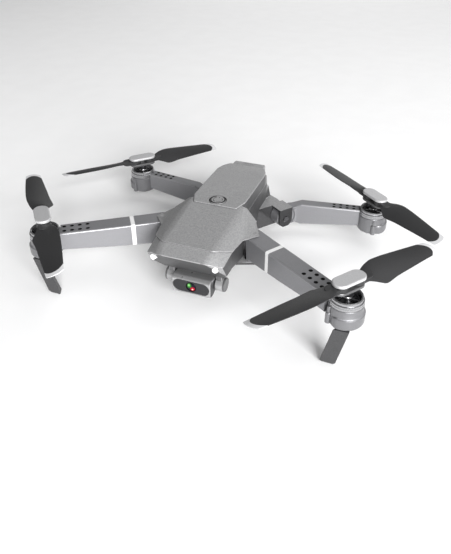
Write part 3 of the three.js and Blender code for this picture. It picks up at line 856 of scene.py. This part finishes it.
def arm_beam(corner, hub, start, along):
    """The CAD arm without its pod, run on a little with the same section so that it meets the new pod."""
    arm = from_cad(f"arm_{corner}")
    reach = (hub - start).dot(along)
    everything = arm.verts[:] + arm.edges[:] + arm.faces[:]
    sliced = bmesh.ops.bisect_plane(arm, geom=everything, dist=0.001, clear_outer=True, plane_no=along,
                                    plane_co=start + along * (reach - ARM_CUT))
    rim = [g for g in sliced["geom_cut"] if isinstance(g, bmesh.types.BMEdge)]
    # Drawn out by hand: bmesh's own extrude adds the sides in another order each run.
    for end_face in bmesh.ops.edgeloop_fill(arm, edges=rim)["faces"]:
        near = end_face.verts[:]
        far = [arm.verts.new(v.co + along * ARM_JOIN) for v in near]
        arm.faces.remove(end_face)
        for k in range(len(near)):
            arm.faces.new((near[k - 1], near[k], far[k], far[k - 1]))
        arm.faces.new(far)
    bmesh.ops.recalc_face_normals(arm, faces=arm.faces)
    bmesh.ops.dissolve_limit(arm, angle_limit=math.radians(0.6), verts=arm.verts, edges=arm.edges)
    return soften(arm, 0.3, 2, 28, lambda e: e.calc_length() > 2.2)


def motor_pod(end, hand, outward, hub):
    """The pod with its upright bars: a narrow one above a wider one."""
    pod = pod_solid(outward)
    bar_at = math.radians(BAR_AZIMUTH[end])
    if hand == "left":
        bar_at = math.pi - bar_at
    out = POD["r"] + 0.15
    at = Matrix.Translation((out * math.cos(bar_at), out * math.sin(bar_at), 0))
    for radius, low, high in POD_BARS:
        bar = turned([(0, low), (radius, low), (radius, high), (0, high)], 0.35, 32)
        pod = fused(pod, moved(bar, at))
    return moved(pod, Matrix.Translation(hub))


def add_arms():
    for end, hand in CORNERS:
        corner = f"{end}_{hand}"
        hub = hub_of(corner)
        start, along = arm_line(end, hand)
        beam = arm_beam(corner, hub, start, along)
        outward = math.atan2(hub.y, hub.x) if end == "rear" else math.atan2(along.y, along.x)
        well = upright(POD["well_r"], -POD["well_depth"], 9, 96)
        seat = upright(COLLAR["r"] + COLLAR["gap"], -POD["seat"], 9, 96)
        at = Matrix.Translation(hub)
        arm = cut(fused(beam, motor_pod(end, hand, outward, hub)), moved(well, at), moved(seat, at))
        # The arm's long edge strips take a paler paint as painted highlights.
        piece(f"arm_{corner}_fine", arm, f"arm_{corner}", ARM, [f"arm_{corner}"],
              accents=[(ARM_EDGE_HIGHLIGHT, is_long_edge), (POD_PAINT, lambda face, hub=hub: on_pod(face, hub))])
        add_vent_shade(corner, end, start, along)
        if end == "front":
            add_stripe(corner, beam, start, along)


def add_vent_shade(corner, end, start, along):
    """Black discs just below the arm's top, in its two rows of round vents: painted shade at the vents'
    bottoms.
    """
    stations, spacing, radius, top = VENT[end]
    across = Vector((-along.y, along.x, 0))
    level = Vector((0, 0, top))
    dots = []
    for u in stations:
        for v in (-spacing / 2, spacing / 2):
            at = start + along * u + across * v + level
            dots.append(moved(upright(radius - 0.02, -1.9, -0.12, 24), Matrix.Translation(at)))
    piece(f"arm_vent_shade_{corner}", joined(*dots), f"arm_{corner}", BLACK_AND_VENT_SHADE)


def add_stripe(corner, beam, start, along):
    """A painted band round the arm near its root."""
    across = Vector((-along.y, along.x, 0))
    middle = start + along * STRIPE["from_hinge"]
    ends = [middle + along * (side * STRIPE["width"] / 2) for side in (-1, 1)]
    slab = hull([p + across * v + Vector((0, 0, z)) for p in ends for v in (-12, 12) for z in (10, 40)])
    band = boolean(grown(beam, STRIPE["proud"]), slab, "INTERSECT")
    piece(f"arm_stripe_{corner}", band, f"arm_{corner}", STRIPE_WHITE)


def add_legs():
    for hand in ("right", "left"):
        leg = soften(from_cad(f"leg_front_{hand}"), 0.35, 3, 20)
        piece(f"leg_front_{hand}_fine", leg, f"arm_front_{hand}", DARK_PAINT_AND_SHADE, [f"leg_front_{hand}"])


def finish_cad(node, material):
    """Gives a CAD part that is seen as it is its material."""
    materials = frame["nodes"][node].data.materials
    materials.clear()
    materials.append(material)


def finish_pins_and_board():
    for end, hand in CORNERS:
        finish_cad(f"arm_pin_{end}_{hand}", SHELL if end == "front" else MOTOR)
    finish_cad("main_board", BOARD)


# ---- rotors ---------------------------------------------------------------------------------------
def rotor_place(corner, turn=0.0):
    """The rotor's frame: +X along blade a, z from the top of the collar."""
    hub = hub_of(corner)
    pivot = Vector(joints[f"{corner}_blade_a_fold"]["pos_m"]) / MM
    angle = math.atan2(pivot.y - hub.y, pivot.x - hub.x)
    return Matrix.Translation(hub) @ Matrix.Rotation(angle + turn, 4, "Z")


def station(radius):
    """Blade measures at a radius, smooth between the stations."""
    rows = BLADE_STATIONS
    k = max(i for i in range(len(rows) - 1) if rows[i][0] <= radius or i == 0)
    low, high = rows[k], rows[k + 1]
    before, after = rows[max(k - 1, 0)], rows[min(k + 2, len(rows) - 1)]
    span = high[0] - low[0]
    t = min(1, max(0, (radius - low[0]) / span))
    out = []
    for i in range(1, 5):
        slope_low = (high[i] - before[i]) / (high[0] - before[0]) * span
        slope_high = (after[i] - low[i]) / (after[0] - low[0]) * span
        out.append((2 * t ** 3 - 3 * t ** 2 + 1) * low[i] + (t ** 3 - 2 * t ** 2 + t) * slope_low
                   + (3 * t ** 2 - 2 * t ** 3) * high[i] + (t ** 3 - t ** 2) * slope_high)
    return out


def blade_loop(radius_at, chord_steps=14, thin=1.0):
    """One closed section of the blade. radius_at(u) gives the radius at each share of the chord."""
    middle = (EYE["low"] + EYE["high"]) / 2
    shares = [(1 - math.cos(math.pi * k / chord_steps)) / 2 for k in range(chord_steps + 1)]
    loop = []
    for u, side in [(u, 1) for u in shares] + [(u, -1) for u in reversed(shares[1:-1])]:
        radius = radius_at(u)
        lead, trail, pitch, thick = station(radius)
        across = lead + (trail - lead) * u
        camber = 0.35 * thick * math.sin(math.pi * u)
        half = thick * thin * (0.85 * math.sqrt(max(u, 0)) * (1 - u) + 0.11)
        height = camber + side * half
        c, s = math.cos(math.radians(pitch)), math.sin(math.radians(pitch))
        loop.append((radius, across * c - height * s, middle + across * s + height * c))
    return loop


def blade_end(u):
    """The rounded outline of the tip."""
    return BLADE_LENGTH - 3.2 * (1 - u) ** 4 - 1.0 * u ** 8


def tip_start(u):
    """Where the pale tip begins: a rounded end to the dark part."""
    return BLADE_LENGTH - 2.6 - 5.5 * (1 - u) ** 4 - 3.2 * u ** 6


def blade_dark():
    """The blade's dark part with its root: a ring round the pin and a pill-shaped neck."""
    first = BLADE_STATIONS[0][0]
    rows = 44
    gap = 0.03                   # between the dark part and the pale tip
    dark = loft([
        blade_loop(lambda u, f=k / rows: first + (tip_start(u) - gap - first) * f) for k in range(rows + 1)
    ])
    low, high, r = EYE["low"], EYE["high"], EYE["r"]
    neck = pill(3.1, [(r - 0.9, low), (r - 0.7, low + 0.15), (r - 0.7, high - 0.2), (r - 0.9, high)])
    neck = moved(neck, Matrix.Translation((8.9, 0, 0)))
    at_pin = Matrix.Translation((BLADE_PIN_AT, 0, 0))
    ring = moved(turned([(0, low), (r, low), (r, high), (0, high)], 0.25, 64), at_pin)
    bore = moved(upright(EYE["pin_r"], 0, 20, 32), at_pin)
    return cut(fused(dark, fused(neck, ring)), bore)


def blade_pale_tip():
    steps = 5
    loops = []
    for k in range(steps + 1):
        share = k / steps
        loops.append(blade_loop(lambda u: tip_start(u) + (blade_end(u) - tip_start(u)) * share,
                                thin=1 - 0.25 * share))
    return loft(loops)


def add_blades(corner):
    for tag, turn in (("a", 0), ("b", math.pi)):
        name = f"blade_{tag}_{corner}"
        at = rotor_place(corner, turn)
        piece(f"{name}_fine", moved(blade_dark(), at), name, BLADE, [name], 40)
        piece(f"blade_tip_{tag}_{corner}", moved(blade_pale_tip(), at), name, TIP, (), 40)


def add_rotor(corner):
    """The plate on the shaft, the cap above it and the two blade pins between them."""
    body = f"rotor_{corner}"
    place = rotor_place(corner)
    plate = pill(BLADE_PIN_AT, [(3.9, 3.7), (4.3, 4.0), (4.3, 5.1), (4.1, 5.4)])
    piece(f"rotor_plate_{corner}", moved(plate, place), body, PLATE, [f"rotor_hub_{corner}"])
    neck = [
        (0, -9), (1.2, -9), (1.2, 0.4), (3.4, 0.4), (3.4, 0.9), (2.4, 1.0), (2.4, 1.5), (3.0, 1.6),
        (3.0, 2.1), (2.3, 2.2), (2.3, 2.8), (2.8, 2.9), (2.8, 3.69), (0, 3.69),
    ]
    piece(f"rotor_neck_{corner}", moved(lathe(neck, 64), place), body, MOTOR)
    cap = pill(BLADE_PIN_AT, [
        (4.3, 8.8), (4.6, 8.85), (4.7, 9.0), (4.7, 9.85), (4.6, 10.15), (4.4, 10.35), (4.1, 10.45),
        (3.8, 10.5),
    ])
    piece(f"rotor_cap_{corner}_fine", moved(cap, place), body, CAP, [f"rotor_cap_{corner}"])
    pins = [moved(upright(BLADE_PIN_R, 4.1, 8.82, 32), Matrix.Translation((side * BLADE_PIN_AT, 0, 0)))
            for side in (-1, 1)]
    piece(f"rotor_pins_{corner}", moved(joined(*pins), place), body, STEEL)


def add_collar(corner):
    """The lacquered ring on top of the pod, with a groove and a step."""
    r, step, height = COLLAR["r"], COLLAR["step_r"], COLLAR["height"]
    bore = POD["well_r"]
    outline = [
        (bore, -height), (r, -height), (r, -3.3), (r - 0.18, -3.2), (r - 0.18, -3.05), (r, -2.95),
        (r, -2.1), (r - 0.15, -1.95), (step - 0.15, -1.85), (step - 0.15, -1.7), (step, -1.6),
        (step, -0.45), (step - 0.45, 0), (step - 0.75, 0), (bore, -0.35),
    ]
    ring = moved(lathe(outline, 128, closed=True), Matrix.Translation(hub_of(corner)))
    piece(f"collar_{corner}_fine", ring, f"arm_{corner}", COLLAR_PAINT, [f"collar_{corner}"])


def around(count, make):
    """Copies of a solid evenly round Z."""
    return [moved(make(), Matrix.Rotation(2 * math.pi * k / count, 4, "Z")) for k in range(count)]


def motor_pole():
    """One wound pole with its shoe."""
    coil = soften(box((2.6, -0.9, -10.5), (5.6, 0.9, -3.4)), 0.35, 2)
    shoe = soften(box((5.3, -1.7, -9.6), (6.0, 1.7, -3.2)), 0.2, 2)
    return joined(coil, shoe)


def bell_spoke():
    return soften(box((2.4, -0.55, -3.1), (6.4, 0.55, -2.45)), 0.15, 2)


def add_motor(corner):
    """An open motor: a base, its wound poles, and a bell ring with a spoked top."""
    r, bore, boss_r = MOTOR_SIZE["bell_r"], MOTOR_SIZE["bell_bore"], MOTOR_SIZE["boss_r"]
    base = lathe([(0, -11.8), (r, -11.8), (r, -10.6), (1.6, -10.6), (1.6, -11.0), (0, -11.0)], 72)
    bell_profile = [
        (bore, -10.2), (r, -10.2), (r, -2.9), (r - 0.4, -2.5), (r - 1, -2.5), (r - 1, -2.9), (bore, -3.2),
    ]
    bell = lathe(bell_profile, 72, closed=True)
    boss_profile = [
        (1.5, -10.6), (boss_r, -10.6), (boss_r, -0.9), (boss_r - 0.4, -0.6), (boss_r - 0.6, -0.2),
        (1.5, -0.2),
    ]
    boss = lathe(boss_profile, 48, closed=True)
    spokes = around(MOTOR_SIZE["spokes"], bell_spoke)
    poles = around(MOTOR_SIZE["poles"], motor_pole)
    place = Matrix.Translation(hub_of(corner))
    piece(f"motor_{corner}_fine", moved(joined(base, bell, *spokes, *poles), place), f"arm_{corner}", MOTOR,
          [f"motor_{corner}"])
    piece(f"motor_boss_{corner}", moved(boss, place), f"arm_{corner}", STEEL)


# ---- stage ----------------------------------------------------------------------------------------
def add_stage():
    bpy.ops.mesh.primitive_plane_add(size=12, location=(0, 0, -FLOOR_DROP * MM))
    floor = bpy.context.object
    floor.name = "floor"
    floor.data.materials.append(moulded("floor_paper", (0.96, 0.96, 0.963), 0.8, 60, 0.02, 0.01))


def area_light(name, location, target, size, power):
    """A square lamp of `size` metres and `power` watts that faces the target."""
    data = bpy.data.lights.new(name, "AREA")
    data.energy = power
    data.size = size
    light = bpy.data.objects.new(name, data)
    bpy.context.scene.collection.objects.link(light)
    light.location = location
    light.rotation_euler = (Vector(target) - Vector(location)).to_track_quat("-Z", "Y").to_euler()


def add_lights():
    area_light("key_right", (1.70, -1.96, 0.90), (0, 0, 0.02), 1.7, 168)
    area_light("top", (0.60, 0.1, 1.10), (0, 0, 0), 1.0, 4.5)
    area_light("back_rim", (-0.25, 1.3, 0.4), (0, 0, 0.02), 0.9, 2.2)
    world = bpy.data.worlds.new("studio")
    world.use_nodes = True
    world.node_tree.nodes["Background"].inputs["Color"].default_value = (1, 1, 1, 1)
    world.node_tree.nodes["Background"].inputs["Strength"].default_value = 0.22
    bpy.context.scene.world = world
    bpy.context.scene.view_settings.view_transform = "Standard"


def add_camera():
    """A camera that looks at the middle of the body from ahead, above and the right-hand side."""
    azimuth, elevation = math.radians(20.8), math.radians(31.47)
    distance = 0.3838            # metres
    target = Vector((0, 0, 0.0205))
    level = Vector((math.sin(azimuth), -math.cos(azimuth), 0))
    away = level * math.cos(elevation) + Vector((0, 0, math.sin(elevation)))
    data = bpy.data.cameras.new("camera")
    data.sensor_width = 36
    data.lens = 37.8
    data.shift_x = 0.007
    data.shift_y = -0.094
    data.clip_start = 0.01
    camera = bpy.data.objects.new("camera", data)
    bpy.context.scene.collection.objects.link(camera)
    place = Matrix.Translation(target + away * distance)
    facing = away.to_track_quat("Z", "Y").to_matrix().to_4x4()
    roll = Matrix.Rotation(math.radians(-0.2), 4, "Z")
    camera.matrix_world = place @ facing @ roll
    bpy.context.scene.camera = camera


add_camera()
add_stage()
add_lights()
add_shells()
add_lamps()
add_button()
add_battery()
add_catch()
add_camera_head()
add_camera_axle()
add_arms()
add_legs()
finish_pins_and_board()
for corner in (f"{end}_{hand}" for end, hand in CORNERS):
    add_collar(corner)
    add_motor(corner)
    add_rotor(corner)
    add_blades(corner)

bpy.context.view_layer.update()
